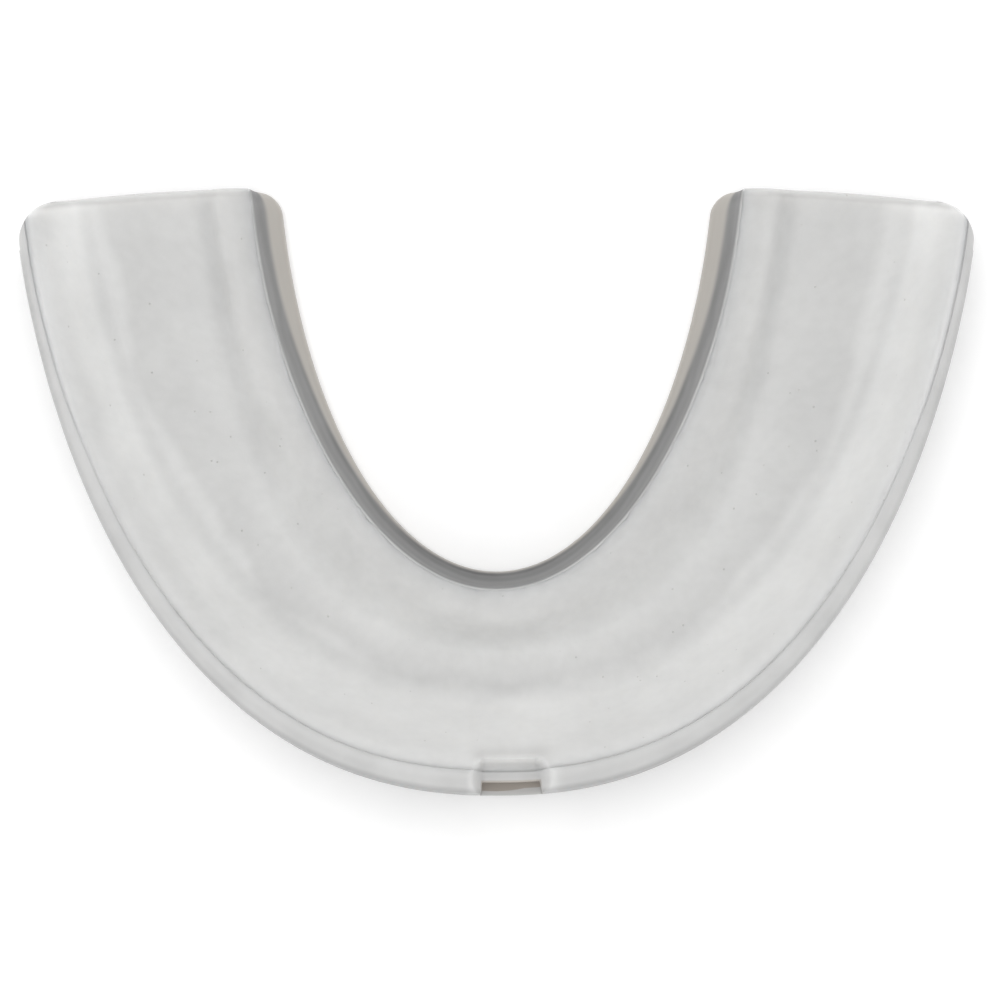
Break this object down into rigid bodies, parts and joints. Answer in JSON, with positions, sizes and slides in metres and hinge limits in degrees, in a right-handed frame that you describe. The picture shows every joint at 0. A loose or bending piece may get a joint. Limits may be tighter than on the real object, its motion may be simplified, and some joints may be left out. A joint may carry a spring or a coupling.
{
  "type": "boil-and-bite mouthguard",
  "caption": "Clear single-arch boil-and-bite mouthguard: U-shaped tooth channel with a firm outer shell, a soft milky lining, a rolled lip rim and a frenum notch.",
  "frame": {"origin": "middle of the footprint, on the flat bite face that the guard rests on", "axes": "+X across the mouth, -Y to the front of the arch (lips), +Y to the open ends of the arms, +Z to the gum side of the tooth channel"},
  "size_m": [0.0648, 0.041, 0.0115],
  "materials": {
    "clear_eva_shell": "smooth moulded clear EVA, slightly grey",
    "milky_eva_lining": "soft translucent milky EVA, satin"
  },
  "bodies": {
    "root": {"outer_shell": "clear_eva_shell", "fitting_liner": "milky_eva_lining"}
  },
  "joints": []
}
